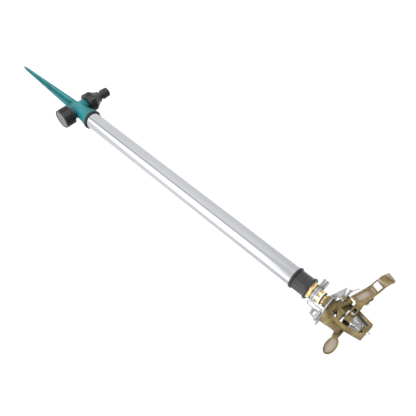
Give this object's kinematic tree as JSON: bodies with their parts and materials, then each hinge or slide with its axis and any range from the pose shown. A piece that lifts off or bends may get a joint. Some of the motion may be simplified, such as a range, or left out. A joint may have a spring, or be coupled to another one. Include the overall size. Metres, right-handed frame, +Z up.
{
  "type": "sprinkler",
  "caption": "Impact lawn sprinkler: bronze-painted cast head with hammer arm and trip gear on a polished tube riser, teal ground spike with screw cap and hose nipple",
  "frame": {"origin": "on the riser axis at the soil line, where the ribs of the spike meet its root disc", "axes": "+Z up the riser, +X along the inlet arm with the hose adaptor, +Y completes the right-handed frame"},
  "size_m": [0.1063, 0.0524, 0.6851],
  "materials": {
    "base_plastic": "moulded, slightly worn",
    "black_plastic": "moulded",
    "seal_rubber": "matte",
    "tube_chrome": "polished",
    "brass_parts": "machined",
    "bright_steel": "bright",
    "pressed_steel": "pressed, zinc plated",
    "white_nylon": "natural nylon",
    "bronze_casting": "bronze lacquer on a zinc casting"
  },
  "bodies": {
    "base": {"spike_body": "base_plastic", "riser_seal": "seal_rubber", "riser_tube": "tube_chrome", "riser_adaptor": "black_plastic", "tube_o_ring": "seal_rubber", "bearing_nipple": "brass_parts", "bearing_spring": "bright_steel", "thrust_washer": "white_nylon", "nylon_washer": "white_nylon", "rubber_washer": "seal_rubber"},
    "cap": {"end_cap": "black_plastic", "end_cap_washer": "seal_rubber"},
    "adaptor": {"hose_adaptor": "black_plastic", "hose_adaptor_washer": "seal_rubber", "nipple_o_ring": "seal_rubber"},
    "collar_lower": {"friction_collar_lower": "pressed_steel"},
    "collar_upper": {"friction_collar_upper": "pressed_steel"},
    "head": {"bearing_sleeve": "brass_parts", "thrust_bush": "brass_parts", "sprinkler_body": "bronze_casting", "nozzle": "brass_parts", "fulcrum_pin": "bright_steel", "spring_retainer": "bronze_casting", "arm_spring": "bright_steel", "lever_circlip": "bright_steel", "deflector_pin": "bright_steel", "diffuser_strip": "bright_steel"},
    "hammer": {"hammer_arm": "bronze_casting", "arm_bush": "white_nylon"},
    "lever": {"trip_lever": "pressed_steel", "trip_pin": "bright_steel"},
    "trip": {"trip_bracket": "pressed_steel", "trip_wire": "bright_steel"},
    "diffuser": {"diffuser_screw": "bright_steel"},
    "deflector": {"deflector_flap": "bronze_casting", "deflector_screw": "bright_steel"}
  },
  "joints": [
    {"name": "cap_turn", "type": "hinge", "parent": "base", "child": "cap", "pos_m": [-0.0152, 0, 0.011], "axis": [-1, 0, 0], "continuous": true},
    {"name": "adaptor_turn", "type": "hinge", "parent": "base", "child": "adaptor", "pos_m": [0.0152, 0, 0.011], "axis": [1, 0, 0], "continuous": true},
    {"name": "head_turn", "type": "hinge", "parent": "base", "child": "head", "pos_m": [0, 0, 0.4781], "axis": [0, 0, 1], "range_deg": [-110, 110]},
    {"name": "collar_lower_turn", "type": "hinge", "parent": "base", "child": "collar_lower", "pos_m": [0, 0, 0.4679], "axis": [0, 0, 1], "range_deg": [-40, 30]},
    {"name": "collar_upper_turn", "type": "hinge", "parent": "base", "child": "collar_upper", "pos_m": [0, 0, 0.471], "axis": [0, 0, 1], "range_deg": [-30, 40]},
    {"name": "arm_swing", "type": "hinge", "parent": "head", "child": "hammer", "pos_m": [0, 0, 0.5118], "axis": [0, 0, 1], "range_deg": [0, 100], "stiffness_Nm_per_rad": 0.02},
    {"name": "trip_swing", "type": "hinge", "parent": "lever", "child": "trip", "pos_m": [-0.01123, -0.00572, 0.4868], "axis": [-0.891, -0.454, 0], "range_deg": [-10, 10]},
    {"name": "lever_turn", "type": "hinge", "parent": "head", "child": "lever", "pos_m": [0, 0, 0.4898], "axis": [0, 0, 1], "range_deg": [-4, 4]},
    {"name": "diffuser_slide", "type": "slide", "parent": "head", "child": "diffuser", "axis": [0.891, 0.454, 0], "range_m": [-0.003, 0.001]},
    {"name": "deflector_tilt", "type": "hinge", "parent": "head", "child": "deflector", "pos_m": [0.01732, 0.00434, 0.5164], "axis": [0.454, -0.891, 0], "range_deg": [-12, 15]}
  ],
  "couplings": [
    {"joint": "lever_turn", "follows": "trip_swing", "ratio": 0.4}
  ]
}
